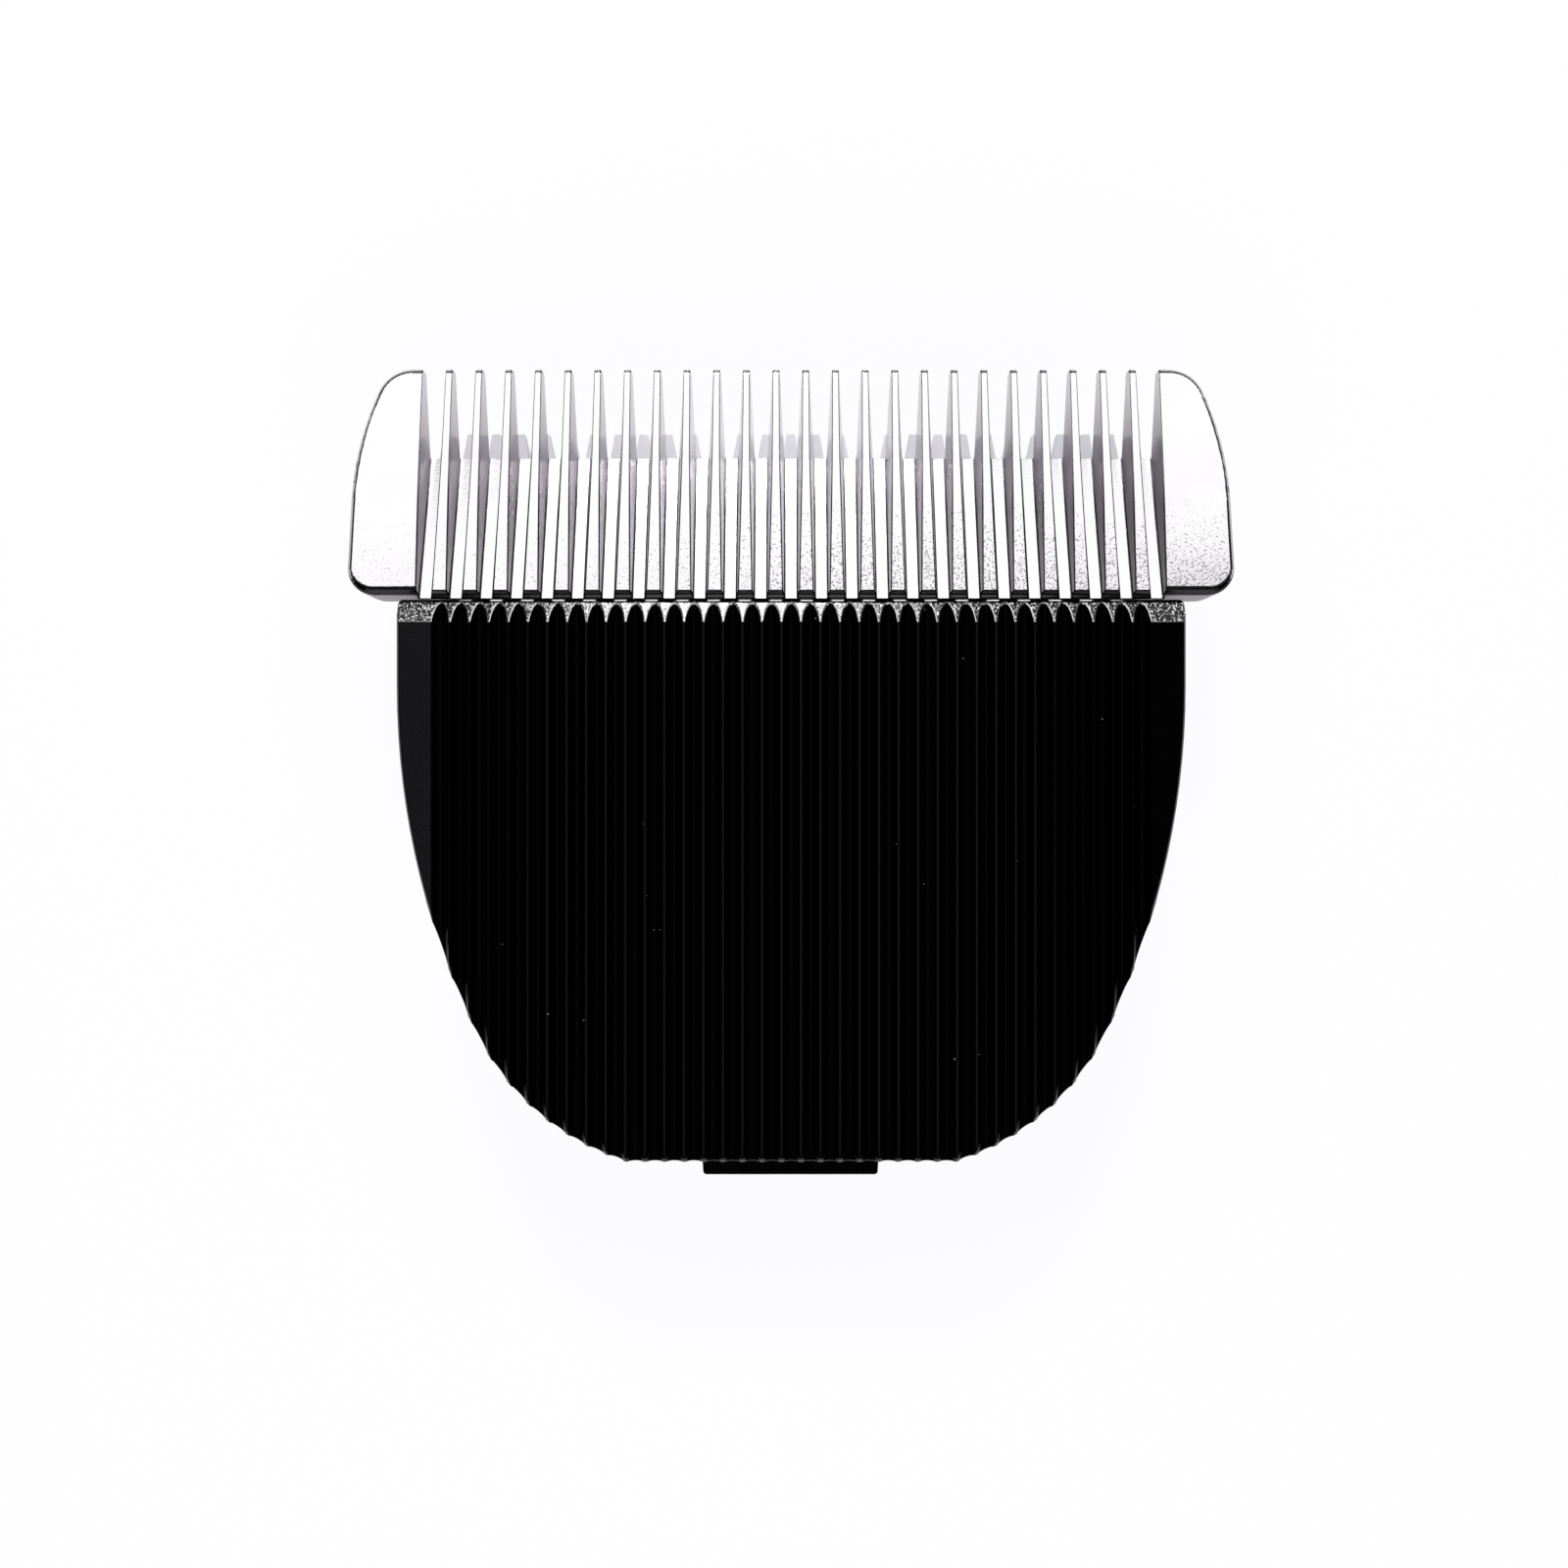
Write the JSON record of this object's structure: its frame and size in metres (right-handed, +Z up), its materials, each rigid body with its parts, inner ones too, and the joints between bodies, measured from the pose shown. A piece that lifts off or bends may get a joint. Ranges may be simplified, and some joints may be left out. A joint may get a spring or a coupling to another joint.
{
  "type": "hair clipper blade",
  "caption": "Clip-on hair clipper blade: steel comb, sliding ceramic cutter and spring carried under a fluted black moulded base with a hinge tongue.",
  "frame": {"origin": "middle of the blade's outline on the surface it lies on, at the rim of the base", "axes": "+X across the teeth, +Y towards the tooth tips, +Z up out of the fluted face"},
  "size_m": [0.0468, 0.0448, 0.0108],
  "materials": {
    "base_plastic": "black moulded, satin with a fine grain",
    "comb_steel": "ground and polished stainless steel",
    "cutter_ceramic": "white fine ceramic, satin",
    "carrier_plastic": "black moulded, satin",
    "slide_plastic": "black moulded, satin",
    "spring_steel": "drawn stainless wire",
    "screw_steel": "zinc plated steel"
  },
  "bodies": {
    "base": {"blade_base": "base_plastic", "fixed_blade": "comb_steel", "blade_screw_left": "screw_steel", "blade_screw_right": "screw_steel"},
    "slide": {"depth_slide": "slide_plastic", "pressure_spring": "spring_steel"},
    "cutter": {"moving_blade": "cutter_ceramic", "cutter_carrier": "carrier_plastic"}
  },
  "joints": [
    {"name": "depth_setting", "type": "slide", "parent": "base", "child": "slide", "axis": [0, 1, 0], "range_m": [0, 0.0024]},
    {"name": "cutter_stroke", "type": "slide", "parent": "slide", "child": "cutter", "axis": [1, 0, 0], "range_m": [-0.0015, 0.0015]}
  ]
}
